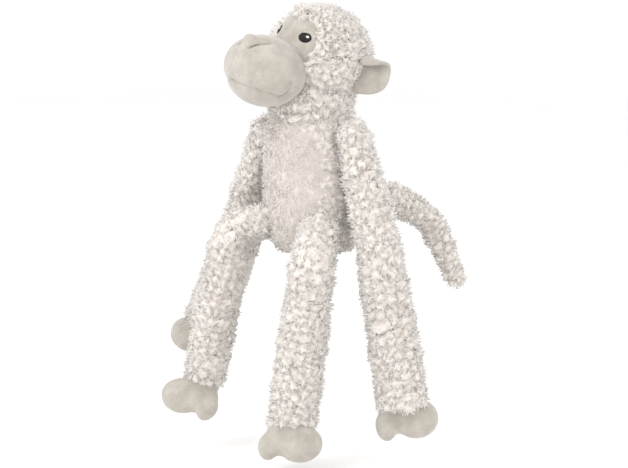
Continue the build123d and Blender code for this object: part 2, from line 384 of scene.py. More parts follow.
def capsule_outline(length, start_r, end_r, end_round, bulge):
    """A tube's outline, round at its start and perhaps its end, its middle bulged a little."""
    quarter = np.linspace(0, math.pi / 2, 9)
    start = [(-start_r * math.cos(t), start_r * math.sin(t)) for t in quarter]
    middle = []
    for t in np.linspace(0.04, 0.96, 16):
        radius = start_r + (end_r - start_r) * t + bulge * math.sin(math.pi * t)
        middle.append((length * t, radius))
    end = [(length + end_r * math.sin(t), end_r * math.cos(t)) for t in quarter]
    if not end_round:
        end = [(length, end_r), (length, 0.2 * end_r)]
    return start + middle + end


def soft_line(points, roundness=0.018, per_corner=10):
    """A line through points with its corners rounded."""
    points = [np.array(p, float) for p in points]
    made = [points[0]]
    for before, corner, after in zip(points, points[1:], points[2:]):
        first, second = before - corner, after - corner
        reach = min(roundness, 0.45 * np.linalg.norm(first), 0.45 * np.linalg.norm(second))
        start, end = corner + unit(first) * reach, corner + unit(second) * reach
        for t in np.linspace(0, 1, per_corner):
            made.append((1 - t) ** 2 * start + 2 * t * (1 - t) * corner + t**2 * end)
    made.append(points[-1])
    return np.array(made)


# ---------------------------------------------------------------- curled pile


def flat_on(vectors, normals):
    """Vectors turned into the plane of the fabric."""
    return unit(vectors - normals * np.sum(vectors * normals, axis=1, keepdims=True) + 1e-9)


def nearest(points, centres):
    """For each point, which centre is the closest."""
    best = [
        np.argmin(np.sum((part[:, None] - centres[None]) ** 2, axis=2), axis=1)
        for part in np.array_split(points, max(1, len(points) // 1000))
    ]
    return np.concatenate(best)


def nearest_two(points, centres):
    """For each point, its closest centre and the distances to its closest two."""
    own, first, second = [], [], []
    for part in np.array_split(points, max(1, len(points) // 800)):
        gaps = np.sum((part[:, None] - centres[None]) ** 2, axis=2)
        order = np.argpartition(gaps, 1, axis=1)[:, :2]
        pair = np.sqrt(np.take_along_axis(gaps, order, axis=1))
        swap = pair[:, 0] > pair[:, 1]
        own.append(np.where(swap, order[:, 1], order[:, 0]))
        first.append(pair.min(axis=1))
        second.append(pair.max(axis=1))
    return np.concatenate(own), np.concatenate(first), np.concatenate(second)


def curved_paths(start, normals, way, lean, bend, swirl, reach, rings):
    """Paths that rise from the fabric, bend over and swing sideways, and their headings."""
    across = np.cross(normals, way)
    step = (reach / rings)[:, None]
    centre, paths, heads = start, [], []
    for k in range(rings + 1):
        t = k / rings
        tilt, spin = (lean + bend * t)[:, None], (swirl * t)[:, None]
        flat = way * np.cos(spin) + across * np.sin(spin)
        ahead = normals * np.cos(tilt) + flat * np.sin(tilt)
        paths.append(centre)
        heads.append(ahead)
        centre = centre + ahead * step
    return np.stack(paths, axis=1), np.stack(heads, axis=1)


def cross_frames(heads, reference):
    """Two directions across each path at each ring, turned as little as they can be."""
    firsts, seconds = [], []
    for k in range(heads.shape[1]):
        reference = flat_on(reference, heads[:, k])
        firsts.append(reference)
        seconds.append(np.cross(heads[:, k], reference))
    return np.stack(firsts, axis=1), np.stack(seconds, axis=1)


def tapered(paths, firsts, seconds, radii, sides):
    """Closed tapered solids along many paths: points, quads, triangles, outward directions.

    paths has one more ring than radii, and the last one is the tip.
    """
    count, rings = radii.shape
    angle = 2 * math.pi * np.arange(sides) / sides
    angle = np.tile(angle, (count, rings, 1))
    out = firsts[:, :rings, None] * np.cos(angle)[..., None]
    out = out + seconds[:, :rings, None] * np.sin(angle)[..., None]
    rounds = paths[:, :rings, None] + out * radii[..., None, None]
    points = np.concatenate([rounds.reshape(count, -1, 3), paths[:, rings : rings + 1]], axis=1)
    tips = np.cross(firsts[:, rings], seconds[:, rings])[:, None]
    outward = np.concatenate([out.reshape(count, -1, 3), tips], axis=1)
    each = rings * sides + 1
    base = (np.arange(count) * each)[:, None, None]
    quads = (grid_faces(rings, sides)[None] + base).reshape(-1, 4)
    corner = np.arange(sides)
    last = (rings - 1) * sides
    caps = np.stack([last + corner, last + (corner + 1) % sides, np.full(sides, each - 1)], axis=1)
    return points, quads, (caps[None] + base).reshape(-1, 3), outward


def pile_object(name, material, parts):
    """One object from parts of (points, quads, caps, soft normals, along, tuft seeds)."""
    total, faces = 0, []
    for points, quads, caps, *_ in parts:
        faces += [quads + total, caps + total]
        total += points.shape[0] * points.shape[1]
    obj = mesh_object(name, np.concatenate([part[0].reshape(-1, 3) for part in parts]), faces, material)
    soft = np.concatenate([part[3].reshape(-1, 3) for part in parts])
    obj.data.normals_split_custom_set_from_vertices(soft)
    point_attribute(obj, "along", np.concatenate([part[4].ravel() for part in parts]))
    point_attribute(obj, "tuft", np.concatenate([part[5].ravel() for part in parts]))
    return obj


def ring_values(values, sides, count):
    """A value per ring and one for the tip, given to every point of many solids."""
    each = np.concatenate([np.repeat(values[:-1], sides), values[-1:]])
    return np.tile(each, (count, 1))


class Pile:
    """One kind of long pile: matted clumps with creases between, and strands growing from them."""

    def __init__(self, clump, core, length, width, spacing):
        self.clump = clump * MM
        self.core = core * MM
        self.length = length * MM
        self.width = width * MM
        self.spacing = spacing * MM


STRAND_TAPER = np.array([0.9, 1.0, 0.8])
STRAND_SIDES = 3
SKIN_STEP = 1.25 * MM
WARP = 1.9 * MM


class Clumps:
    """The clumps of one form's pile: where they stand, which way each leans and how big it is."""

    def __init__(self, places, rng, pile):
        self.middles, normals, combed = places
        self.pile = pile
        count = len(self.middles)
        turn = rng.uniform(-math.pi, math.pi, count)[:, None]
        self.heading = combed * np.cos(turn) + np.cross(normals, combed) * np.sin(turn)
        self.lean = np.abs(rng.normal(0.45, 0.3, count))
        self.size = rng.uniform(0.35, 1.15, count)
        self.seed = rng.uniform(0, 1, count)

    def fuller(self, amount):
        """Make each clump stand taller by its own share."""
        self.size = self.size * (1 + amount)

    def lifted(self, points, normals):
        """Points raised onto the clumps, each one's clump and how far up its clump it is."""
        wave = np.sin(points[:, [1, 2, 0]] * 1900) + 0.7 * np.sin(points[:, [2, 0, 1]] * 3700 + 1)
        moved = points + WARP * 0.5 * wave
        own, first, second = nearest_two(moved, self.middles)
        inward = np.clip((second - first) / (0.62 * self.pile.clump), 0, 1)
        rise = np.sqrt(1 - (1 - inward) ** 2)
        height = (self.pile.core * self.size[own] * rise)[:, None]
        sideways = flat_on(self.heading[own], normals) * self.lean[own][:, None]
        return points + (normals + sideways) * height, own, rise


def clumped_skin(name, form, clumps, bare=None):
    """The fabric under its matted pile, a closed mesh raised into clumps; bare parts stay flat."""
    rows = max(8, int(form.around[-1] / SKIN_STEP))
    columns = int(2 * math.pi * form.outline[:, 1].max() / SKIN_STEP)
    places = np.repeat(np.linspace(0, form.around[-1], rows), columns)
    angles = np.tile(2 * math.pi * np.arange(columns) / columns, rows)
    points, normals, _ = form.at(places, angles)
    raised, own, rise = clumps.lifted(points, normals)
    if bare is not None:
        flat = bare(points)
        raised[flat], rise[flat] = points[flat], 0.4
    skin = mesh_object(name, raised, [grid_faces(rows, columns)], CURLS)
    # painted shade: the skin darkens towards the low creases between clumps, and bare parts take a fixed
    # middle value
    point_attribute(skin, "along", 0.05 + 0.6 * rise)
    point_attribute(skin, "tuft", clumps.seed[own])
    return skin


def curls(name, material, roots, clumps, rng):
    """Strands that grow out of the clumps, at right angles to each clump's round top."""
    points, normals, combed = roots
    pile, count = clumps.pile, len(points)
    start, own, rise = clumps.lifted(points, normals)
    away = points - clumps.middles[own]
    away = (away - normals * np.sum(away * normals, axis=1, keepdims=True)) / (0.5 * pile.clump)
    upright = unit(normals + 0.8 * away + rng.normal(0, 0.16, (count, 3)))
    way = flat_on(clumps.heading[own] - 0.6 * away + rng.normal(0, 0.5, (count, 3)), upright)
    lean = rng.normal(0.1, 0.12, count)
    bend = rng.normal(0.9, 0.4, count)
    swirl = rng.normal(0, 1.0, count)
    reach = pile.length * (0.55 + 0.45 * rise) * rng.uniform(0.75, 1.15, count)
    rings = len(STRAND_TAPER)
    paths, heads = curved_paths(start - normals * 0.0008, upright, way, lean, bend, swirl, reach, rings)
    firsts, seconds = cross_frames(heads, np.cross(upright, way))
    radii = pile.width / 2 * rng.uniform(0.7, 1.3, count)[:, None] * STRAND_TAPER
    part = tapered(paths, firsts, seconds, radii, STRAND_SIDES)
    dome = unit(normals + 0.75 * away)
    soft = unit(part[3] * 0.45 + dome[:, None] * 0.55)
    # painted shade: each strand darkens towards its root, and strands that rise from creases stay darker
    along = ring_values(0.35 + 0.65 * np.arange(rings + 1) / rings, STRAND_SIDES, count)
    along = along * (0.55 + 0.45 * rise)[:, None]
    seeds = np.clip(clumps.seed[own] + rng.normal(0, 0.12, count), 0, 1)
    seeds = np.repeat(seeds[:, None], part[0].shape[1], axis=1)
    return pile_object(name, material, [part[:3] + (soft, along, seeds)])


FUZZ_RINGS = 4
FUZZ_SIDES = 4
FUZZ_TAPER = np.array([0.85, 1.0, 0.85, 0.5])


def fuzz(name, material, roots, rng, length, width, centres):
    """Short matted pile: strands that lie almost flat, each patch its own way."""
    points, normals, _ = roots
    count = len(points)
    middles, middle_normals, combed = centres
    turn = rng.normal(0, 0.9, len(middles))
    side = np.cross(middle_normals, combed)
    heading = combed * np.cos(turn)[:, None] + side * np.sin(turn)[:, None]
    own = nearest(points, middles)
    way = flat_on(heading[own], normals)
    across = np.cross(normals, way)
    stray = rng.normal(0, 0.7, count)[:, None]
    way = way * np.cos(stray) + across * np.sin(stray)
    lean = rng.normal(0.75, 0.2, count)
    bend = rng.normal(0.6, 0.3, count)
    reach = length * rng.uniform(0.8, 1.2, count)
    paths, heads = curved_paths(
        points - normals * 0.001, normals, way, lean, bend, rng.normal(0, 0.7, count), reach, FUZZ_RINGS
    )
    firsts, seconds = cross_frames(heads, np.cross(normals, way))
    radii = width / 2 * rng.uniform(0.7, 1.2, count)[:, None] * FUZZ_TAPER
    part = tapered(paths, firsts, seconds, radii, FUZZ_SIDES)
    # painted shade: each belly strand darkens towards its root
    along = ring_values(np.arange(FUZZ_RINGS + 1) / FUZZ_RINGS, FUZZ_SIDES, count)
    seeds = np.clip(rng.uniform(0, 1, len(middles))[own] + rng.normal(0, 0.1, count), 0, 1)
    seeds = np.repeat(seeds[:, None], part[0].shape[1], axis=1)
    soft = unit(part[3] * 0.18 + normals[:, None] * 0.82)
    return pile_object(name, material, [part[:3] + (soft, along, seeds)])


def chosen(roots, mask):
    return tuple(part[mask] for part in roots)


# ---------------------------------------------------------------- limbs

LONG_PILE = Pile(clump=7.2, core=4.2, length=5.0, width=1.0, spacing=1.75)
HEAD_PILE = Pile(clump=6.0, core=3.6, length=4.2, width=0.95, spacing=1.65)
SEAM_PILE = Pile(clump=6.6, core=3.2, length=4.4, width=1.0, spacing=1.8)
FUZZ_LENGTH = 4.6 * MM
FUZZ_WIDTH = 1.0 * MM
FUZZ_SPACING = 1.6 * MM


def limb(name, bodies, points, radii, hem_r, seed, end_round=False):
    """A stuffed sleeve with its pile, spanning one joint unattached or riding on one body."""
    rng = np.random.default_rng(seed)
    cuff = points[-1] + unit(points[-1] - points[-2]) * CUFFS.get(name, 0.0)
    line = soft_line([*points[:-1], cuff])
    length = np.linalg.norm(np.diff(line, axis=0), axis=1).sum()
    outline = capsule_outline(length, radii[0], radii[1], end_round, bulge=radii[2])
    form = Form(line, outline)
    low, high = 0.003, form.around[-1] - (0 if end_round else hem_r)
    clumps = Clumps(form.roots(rng, LONG_PILE.clump, low, high), rng, LONG_PILE)
    pieces = [clumped_skin(f"{name}_sleeve", form, clumps)]
    pieces.append(curls(f"{name}_curls", CURLS, form.roots(rng, LONG_PILE.spacing, low, high), clumps, rng))
    if len(bodies) == 1:
        for piece in pieces:
            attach(piece, bodies[0])
    else:
        for piece in pieces:
            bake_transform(piece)
    return pieces


CUFFS = {"left_arm": 10 * MM, "left_leg": 5 * MM, "right_arm": 4 * MM}
ARM_RADII = (11 * MM, 18.5 * MM, 2 * MM)
LEG_RADII = {"left": (13 * MM, 17.5 * MM, 2 * MM), "right": (11 * MM, 15 * MM, 2.5 * MM)}


def arm(side, seed):
    shoulder = PIVOT[f"{side}_shoulder_swing"]
    elbow, wrist = PIVOT[f"{side}_elbow"], PIVOT[f"{side}_wrist"]
    bodies = (f"{side}_upper_arm", f"{side}_forearm")
    sleeve, pile = limb(
        f"{side}_arm", bodies, [shoulder, elbow, wrist], ARM_RADII, 0.012, seed
    )
    for body in bodies:
        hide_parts(f"{body}_stuffing")
        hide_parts(f"{body}_fur")
    joint_ball(f"{side}_shoulder", shoulder, 11 * MM, seed + 50)


def leg(side, seed):
    hip = PIVOT[f"{side}_hip_lift"]
    knee, ankle = PIVOT[f"{side}_knee"], PIVOT[f"{side}_ankle"]
    bodies = (f"{side}_thigh", f"{side}_shin")
    sleeve, pile = limb(
        f"{side}_leg", bodies, [hip, knee, ankle], LEG_RADII[side], 0.012, seed
    )
    for body in bodies:
        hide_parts(f"{body}_stuffing")
        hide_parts(f"{body}_fur")
    joint_ball(f"{side}_hip", hip, 14 * MM, seed + 50)


def joint_ball(body, centre, radius, seed):
    """The gathered fabric at a seam, which stays filled as the limb swings."""
    rng = np.random.default_rng(seed)
    form = Form(stub(centre), ball_outline(radius, 18))
    clumps = Clumps(form.roots(rng, SEAM_PILE.clump), rng, SEAM_PILE)
    pile = curls(f"{body}_curls", CURLS, form.roots(rng, SEAM_PILE.spacing), clumps, rng)
    gather = clumped_skin(f"{body}_gathered_fabric", form, clumps)
    for piece in (gather, pile):
        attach(piece, body)
    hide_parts(f"{body}_gather")


for number, side_name in enumerate(("left", "right")):
    arm(side_name, 100 + number)
    leg(side_name, 200 + number)

# ---------------------------------------------------------------- tail

tail_root, tail_bend = PIVOT["tail_lift"], PIVOT["tail_middle_curl"]
tail_turn = PIVOT["tail_tip_curl"]
low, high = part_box("tail_tip_fur")
tail_end = np.array([high[0] - 0.0075, high[1] - 0.0075, low[2] + 0.0075])
tail_half = (tail_bend + tail_turn) / 2
first = limb(
    "tail_base", ("tail_base", "tail_middle"), [tail_root, tail_bend, tail_half],
    (9 * MM, 9.5 * MM, 1 * MM), 0.0, 300,
)
second = limb(
    "tail_end", ("tail_middle", "tail_tip"), [tail_half, tail_turn, tail_end],
    (9 * MM, 6 * MM, 1 * MM), 0.0, 301, end_round=True,
)
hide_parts("tail_base_stuffing", "tail_middle_stuffing")
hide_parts("tail_base_fur", "tail_middle_fur")
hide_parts("tail_tip_stuffing")
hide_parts("tail_tip_fur")
gather = Form(stub(tail_root), ball_outline(8 * MM, 14)).skin("tail_gathered_fabric", BACKING, columns=24)
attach(gather, "tail_root")
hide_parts("tail_gather")

# ---------------------------------------------------------------- torso and neck

NECK = PIVOT["neck_turn"]
NECK_R = 34 * MM
TORSO_LINE = [np.array([0, 0, 0]), NECK]
TORSO_OUTLINE = np.array(
    [
        (0, 4), (0, 22), (3, 30), (12, 38), (28, 42), (46, 43),
        (66, 42), (88, 40), (106, 37), (118, 33), (125, 24), (128, 5),
    ]
) * MM
BELLY_HALF = np.array([31, 54]) * MM
BELLY_Z = 66 * MM


def smooth_outline(points, count=60):
    """A smooth curve through an outline's points."""
    points = np.asarray(points)
    t = np.linspace(0, len(points) - 1, count)
    out = []
    for value in t:
        k = min(int(value), len(points) - 2)
        f = value - k
        p = [points[min(max(j, 0), len(points) - 1)] for j in (k - 1, k, k + 1, k + 2)]
        out.append(
            0.5 * (2 * p[1] + (p[2] - p[0]) * f + (2 * p[0] - 5 * p[1] + 4 * p[2] - p[3]) * f**2
                   + (3 * p[1] - p[0] - 3 * p[2] + p[3]) * f**3)
        )
    return np.array(out)


def belly_span(points):
    """How far points are from the belly's middle, 1 on its uneven edge and more behind it."""
    inside = (points[:, 0] / BELLY_HALF[0]) ** 2 + ((points[:, 2] - BELLY_Z) / BELLY_HALF[1]) ** 2
    uneven = 0.09 * np.sin(points[:, 2] * 420) + 0.07 * np.sin(points[:, 2] * 1130 + points[:, 0] * 700)
    return np.where(points[:, 1] < 0, np.sqrt(inside) + uneven, 9)


def on_belly(points):
    return belly_span(points) < 1


def combed_down(roots):
    points, normals, _ = roots
    return points, normals, flat_on(np.array([0, 0, -1.0]), normals)


def make_torso():
    rng = np.random.default_rng(400)
    form = Form(TORSO_LINE, smooth_outline(TORSO_OUTLINE))
    clumps = Clumps(combed_down(form.roots(rng, LONG_PILE.clump)), rng, LONG_PILE)
    clumps.fuller(-0.7 * np.exp(-((np.maximum(belly_span(clumps.middles) - 1, 0) / 0.35) ** 2)))
    skin = clumped_skin("torso_fabric", form, clumps, on_belly)
    roots = combed_down(form.roots(rng, LONG_PILE.spacing))
    under = roots[0][:, 2] < 0.002
    fur = chosen(roots, ~on_belly(roots[0]) & ~under)
    pile = curls("torso_curls", CURLS, fur, clumps, rng)
    roots = combed_down(form.roots(rng, FUZZ_SPACING))
    centres = combed_down(form.roots(rng, 6 * MM))
    belly_roots = chosen(roots, on_belly(roots[0]))
    belly = fuzz("belly_pile", BELLY_CURLS, belly_roots, rng, FUZZ_LENGTH, FUZZ_WIDTH, centres)
    for piece in (skin, pile, belly):
        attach(piece, "torso")
    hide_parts("torso_stuffing")
    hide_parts("torso_fur")
    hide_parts("belly_panel")


def make_neck():
    rng = np.random.default_rng(410)
    centre = NECK + np.array([0.001, 0.002, -0.001])
    form = Form(stub(centre), ball_outline(NECK_R, 24))
    clumps = Clumps(combed_down(form.roots(rng, LONG_PILE.clump)), rng, LONG_PILE)
    skin = clumped_skin("neck_fabric", form, clumps)
    roots = combed_down(form.roots(rng, LONG_PILE.spacing))
    roots = chosen(roots, np.abs(roots[1][:, 2]) < 0.75)
    pile = curls("neck_curls", CURLS, roots, clumps, rng)
    for piece in (skin, pile):
        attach(piece, "neck")
    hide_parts("neck_gather")


make_torso()
make_neck()

# ---------------------------------------------------------------- head

# millimetres in the head's frame, with -Y ahead of the face
MUZZLE_CENTRE = np.array([0, -53, -24.0])
MUZZLE_SEMI = np.array([39, 34, 31.0])
FACE_TOP, FACE_WIDE, FACE_FAR = 28.5, 29.5, 27.0
TEMPLE_LIFT = 0.9


def in_head(points):
    """World points in the head's own frame, in millimetres."""
    return (points - HEAD_CENTRE) @ HEAD_AXES / MM


def in_world(points):
    return points * MM @ HEAD_AXES.T + HEAD_CENTRE


def face_edge(local):
    """Below 0 on the face patch, above 0 outside it, in millimetres."""
    x, y, z = local.T
    across = np.abs(x) / np.where(x < 0, FACE_FAR, FACE_WIDE)
    upward = (z - 2) / (FACE_TOP - 2 - 2.5 * np.exp(-((x / 7) ** 2)))
    upward = np.where(z > 2, upward, (2 - z) / 14)
    edge = (across**2.6 + np.abs(upward) ** 2.6) ** (1 / 2.6) - 1
    return np.where(y < 5, edge * 28, 50)


def near_muzzle(local, grow):
    scaled = (local - MUZZLE_CENTRE) / (MUZZLE_SEMI + grow)
    return np.sum(scaled**2, axis=1) < 1


def bare_face(points):
    """Where the head has no long pile: under the face patch and the muzzle."""
    local = in_head(points)
    return (face_edge(local) < 0.5) | near_muzzle(local, 0.5)


def make_head():
    rng = np.random.default_rng(500)
    form = Form(stub(HEAD_CENTRE, HEAD_AXES[:, 2]), ball_outline(HEAD_R, 50))
    clumps = Clumps(form.roots(rng, HEAD_PILE.clump), rng, HEAD_PILE)
    edge = face_edge(in_head(clumps.middles))
    clumps.fuller(TEMPLE_LIFT * np.exp(-((np.clip(edge - 3, 0, 50) / 7) ** 2)) + 0.15)
    skin = clumped_skin("head_fabric", form, clumps, bare_face)
    roots = form.roots(rng, HEAD_PILE.spacing)
    pile = curls("head_curls", CURLS, chosen(roots, ~bare_face(roots[0])), clumps, rng)
    for piece in (skin, pile):
        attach(piece, "head")
    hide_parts("head_stuffing")
    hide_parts("head_fur")


def make_face_patch():
    rows, columns = 90, 110
    x = np.linspace(-36, 36, columns)
    z = np.linspace(-22, 33, rows)
    grid_x, grid_z = np.meshgrid(x, z)
    r = 42.6
    y = -np.sqrt(np.clip(r**2 - grid_x**2 - grid_z**2, 25, None))
    local = np.stack([grid_x.ravel(), y.ravel(), grid_z.ravel()], axis=1)
    edge = face_edge(local)
    depth = np.clip(edge, -4, 3)
    out = unit(local) * (0.9 - 0.35 * np.maximum(depth + 2.0, 0)[:, None])
    brow = 1.2 * np.exp(-(((np.abs(local[:, 0]) - 15) / 9) ** 2) - ((local[:, 2] - 22) / 5) ** 2)
    local = local + out + unit(local) * brow[:, None]
    keep = edge < 2.5
    quads = grid_faces(rows, columns, wrap=False)
    quads = quads[np.all(keep[quads], axis=1)]
    patch = part_of_grid("face_patch_velboa", in_world(local), quads, VELBOA)
    thick = patch.modifiers.new("thickness", "SOLIDIFY")
    thick.thickness = 0.0012
    thick.offset = -1
    applied(patch)
    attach(patch, "head")
    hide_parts("face_patch")


def line_distance(points, line):
    """The distance of each point to a line of several runs."""
    best = np.full(len(points), 1e9)
    for a, b in zip(line, line[1:]):
        a, b = np.array(a, float), np.array(b, float)
        run = b - a
        t = np.clip((points - a) @ run / (run @ run), 0, 1)
        best = np.minimum(best, np.linalg.norm(points - a - t[:, None] * run, axis=1))
    return best


def on_muzzle(point, lift=0.0):
    """A point pushed onto the muzzle's ellipsoid, with a lift in millimetres."""
    scaled = (np.array(point, float) - MUZZLE_CENTRE) / MUZZLE_SEMI
    surface = MUZZLE_CENTRE + unit(scaled) * MUZZLE_SEMI
    return surface + unit(unit(scaled) / MUZZLE_SEMI) * lift


MOUTH_LINE = [(0, -83, -38), (13, -79, -38), (24, -72, -38.5), (31, -61, -40), (33, -50, -41)]
TUCK_LINE = [(33, -50, -41), (36, -47, -34), (38.5, -49, -26)]
NOSTRIL_LINE = [(8, -80, -6.5), (11, -75, -3), (16, -66, 1.5)]
NOSE_LIFT, CHEEK_LIFT = 5.2, 1.2
CENTRE_SEAM = [(0, -77, -4), (0, -84, -16), (0, -84.5, -26), (0, -82, -37)]


def mouth_height(y):
    """The mouth seam's height at a depth, in the head's frame."""
    return np.interp(y, [p[1] for p in MOUTH_LINE], [p[2] for p in MOUTH_LINE])


def make_muzzle():
    rows, columns = 150, 190
    ball = ball_grid(rows, columns)
    way = np.stack([ball[:, 1], -ball[:, 2], ball[:, 0]], axis=1)
    local = MUZZLE_CENTRE + way * MUZZLE_SEMI
    normal = unit(way / MUZZLE_SEMI)
    mirrored = local.copy()
    mirrored[:, 0] = np.abs(mirrored[:, 0])
    x, y, z = local.T
    nose = np.exp(-(np.abs(x / 7.0) ** 2.2) - ((y + 76) / 5.5) ** 2 - (z / 7.5) ** 2)
    lift = NOSE_LIFT * nose
    cheek = np.exp(-(((mirrored[:, 0] - 25) / 18) ** 2) - ((z + 16) / 16) ** 2)
    lift += CHEEK_LIFT * cheek
    for line, depth, wide in (
        (NOSTRIL_LINE, 2.6, 1.5),
        (NOSTRIL_LINE, 1.5, 4.0),
        (MOUTH_LINE, 1.3, 0.9),
        (MOUTH_LINE, 1.0, 4.5),
        (TUCK_LINE, 2.2, 1.4),
        (TUCK_LINE, 1.2, 4.5),
        (CENTRE_SEAM, 0.35, 0.8),
    ):
        placed = [on_muzzle(p) for p in line]
        lift -= depth * np.exp(-((line_distance(mirrored, placed) / wide) ** 2))
    rng = np.random.default_rng(510)
    for _ in range(14):
        spot = unit(rng.normal(0, 1, 3))
        lift += rng.uniform(-0.5, 0.5) * np.exp(-np.sum((way - spot) ** 2, axis=1) / 0.12)
    local = local + normal * lift[:, None]
    quads = grid_faces(rows, columns)
    split = mouth_height(local[:, 1])
    upper = np.all(local[quads][:, :, 2] > split[quads] - 0.8, axis=1)
    for name, mask, replaced in (
        ("muzzle_upper_velboa", upper, ("muzzle_upper", "muzzle_stuffing")),
        ("muzzle_chin_velboa", ~upper, ("muzzle_lower",)),
    ):
        piece = part_of_grid(name, in_world(local), quads[mask], VELBOA)
        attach(piece, "head")
        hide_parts(*replaced)


def stitches(name, line, pitch, length, radius, mirror, material, lift):
    """A row of thread stitches laid along a line on the muzzle."""
    placed = np.array([on_muzzle(p, lift) for p in line])
    steps = np.linalg.norm(np.diff(placed, axis=0), axis=1)
    reach = np.concatenate([[0], np.cumsum(steps)])
    parts, faces = [], []
    count = int(reach[-1] / pitch)
    total = 0
    for side in (1, -1) if mirror else (1,):
        for k in range(count):
            at = (k + 0.5) * pitch
            ends = []
            for d in np.linspace(-length / 2, length / 2, 6):
                p = np.array([np.interp(at + d, reach, placed[:, j]) for j in range(3)])
                ends.append(p * np.array([side, 1, 1]))
            ring, quads = tube_arrays(np.array(ends), radius)
            parts.append(ring)
            faces.append(quads + total)
            total += len(ring)
    made = mesh_object(name, in_world(np.concatenate(parts)), [np.concatenate(faces)], material)
    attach(made, "head")
    return made


def tube_arrays(line, radius, sides=8):
    """Points and quads of a round thread along a line, thinner at its ends."""
    way = unit(np.gradient(line, axis=0))
    side = unit(np.cross(way, [0.2, 0.1, 1.0]))
    other = np.cross(way, side)
    angle = 2 * math.pi * np.arange(sides) / sides
    taper = np.sqrt(np.clip(1 - np.linspace(-1, 1, len(line)) ** 4, 0.02, 1))
    ring = side[:, None] * np.cos(angle)[None, :, None] + other[:, None] * np.sin(angle)[None, :, None]
    points = line[:, None] + ring * (radius * taper)[:, None, None]
    return points.reshape(-1, 3), grid_faces(len(line), sides)


EYE_X, EYE_Z = 20.0, 13.0
EYE_HALF = (6.1, 4.7)


def make_eye(side, sign):
    """Satin stitches side by side, domed over the fabric."""
    centre = unit(np.array([sign * EYE_X, -math.sqrt(42**2 - EYE_X**2 - EYE_Z**2), EYE_Z]))
    across = unit(np.cross([0, 0, 1.0], centre))
    upward = np.cross(centre, across)
    for name, half, at, lift, slot_name, material, replaced in (
        (f"{side}_eye_embroidery", EYE_HALF, (0, 0), 0.7, "black_thread", BLACK_THREAD, f"{side}_eye"),
        (
            f"{side}_eye_glint", (1.5, 1.2), (-2.3 * sign if sign < 0 else 2.3, 0.8), 1.25,
            "white_thread", WHITE_THREAD, f"{side}_eye_highlight",
        ),
    ):
        parts, faces, total = [], [], 0
        pitch = 0.42
        for k in range(int(2 * half[0] / pitch) + 1):
            u = -half[0] + (k + 0.5) * 2 * half[0] / (int(2 * half[0] / pitch) + 1)
            reach = half[1] * math.sqrt(max(0.02, 1 - (u / half[0]) ** 2))
            line = []
            for v in np.linspace(-reach, reach, 9):
                dome = 0.9 * (1 - (v / half[1]) ** 2) * (1 - (u / half[0]) ** 2) if half is EYE_HALF else 0.3
                p = centre * 42.9 + across * (u + at[0]) + upward * (v + at[1])
                line.append(unit(p) * (42.9 + lift + dome))
            ring, quads = tube_arrays(np.array(line), 0.33, 6)
            parts.append(ring)
            faces.append(quads + total)
            total += len(ring)
        made = mesh_object(name, in_world(np.concatenate(parts)), [np.concatenate(faces)], material)
        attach(made, "head")
        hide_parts(replaced)


EAR_ROOT = (39, 15, -1)
EAR_SWEEP = 35


def make_ear(side, sign):
    """A folded cup of two fabric layers with its top edge rolled over."""
    rows, columns = 44, 30
    root = np.array([sign * EAR_ROOT[0], EAR_ROOT[1], EAR_ROOT[2]], float)
    sweep = math.radians(EAR_SWEEP)
    out = np.array([sign * math.cos(sweep), math.sin(sweep), 0])
    upward = np.array([0, 0, 1.0])
    ahead = unit(np.cross(out, upward)) * sign
    if ahead[1] > 0:
        ahead = -ahead
    h, b = np.meshgrid(np.linspace(-1, 1, rows), np.linspace(0, 1, columns), indexing="ij")
    h, b = h.ravel(), b.ravel()
    reach = 30 * np.sqrt(np.clip(1 - (np.abs(h) ** 2.4), 0, 1)) * b + 0.5
    tall = np.where(h > 0, 25, 19) * h * (0.55 + 0.45 * np.sin(np.clip(b, 0, 1) * math.pi * 0.5))
    fold_at, roll = 9.0, 4.0
    over = np.maximum(tall - fold_at, 0) / roll
    rise = np.where(tall > fold_at, fold_at + roll * np.sin(np.minimum(over, 4.0)), tall)
    forward = np.where(tall > fold_at, roll * (1 - np.cos(np.minimum(over, 4.0))), 0)
    cup = 6.5 * (reach / 30) ** 2 + 4.5 * (np.minimum(tall, 0) / 19) ** 2
    local = root + out * reach[:, None] + upward * (rise - 1)[:, None]
    local = local + ahead * (forward + cup - 2)[:, None]
    quads = grid_faces(rows, columns, wrap=False)
    ear = mesh_object(f"{side}_ear_velboa", in_world(local), [quads], VELBOA)
    thick = ear.modifiers.new("layers", "SOLIDIFY")
    thick.thickness = 0.0026
    thick.offset = 0
    soft = ear.modifiers.new("soft", "SUBSURF")
    soft.levels = soft.render_levels = 1
    applied(ear)
    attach(ear, f"{side}_ear")
    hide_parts(f"{side}_ear_front", f"{side}_ear_back")


make_head()
make_face_patch()
make_muzzle()
nostrils = stitches("nostril_thread", NOSTRIL_LINE, 9.0, 9.4, 0.35, True, SEAM_THREAD, -0.6)
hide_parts("nostril_stitching")
mouth = stitches("mouth_thread", MOUTH_LINE, 2.2, 1.8, 0.22, True, SEAM_THREAD, -1.9)
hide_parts("mouth_stitching")
for side_name, sign in (("left", 1), ("right", -1)):
    make_eye(side_name, sign)
    make_ear(side_name, sign)

# ---------------------------------------------------------------- paws

PAW_LOBES = [
    ((10, 0, 25), (19.5, 12.5, 17.5)),
    ((-17, 0, 28), (9.5, 9, 13.5)),
    ((-4, 0, 20), (19, 11.5, 16.5)),
    ((-1, 0, 6), (16, 14, 13)),
]
PAW_VOXEL = 0.0011
PAW_SEAM_WIDE, PAW_SEAM_DEEP = 0.9 * MM, 0.6 * MM
PAWS = {
    "left_hand": ("left_wrist", (3, 2, -26), (20, 18, 0), ("palm", "back")),
    "right_hand": ("right_wrist", (-8, -7, -23), (-20, -18, 0), ("palm", "back")),
    "left_foot": ("left_ankle", (11, -17, -16), (26, 15, 0), ("sole", "top")),
    "right_foot": ("right_ankle", (4, -18, -13), (-20, -18, 0), ("sole", "top")),
}


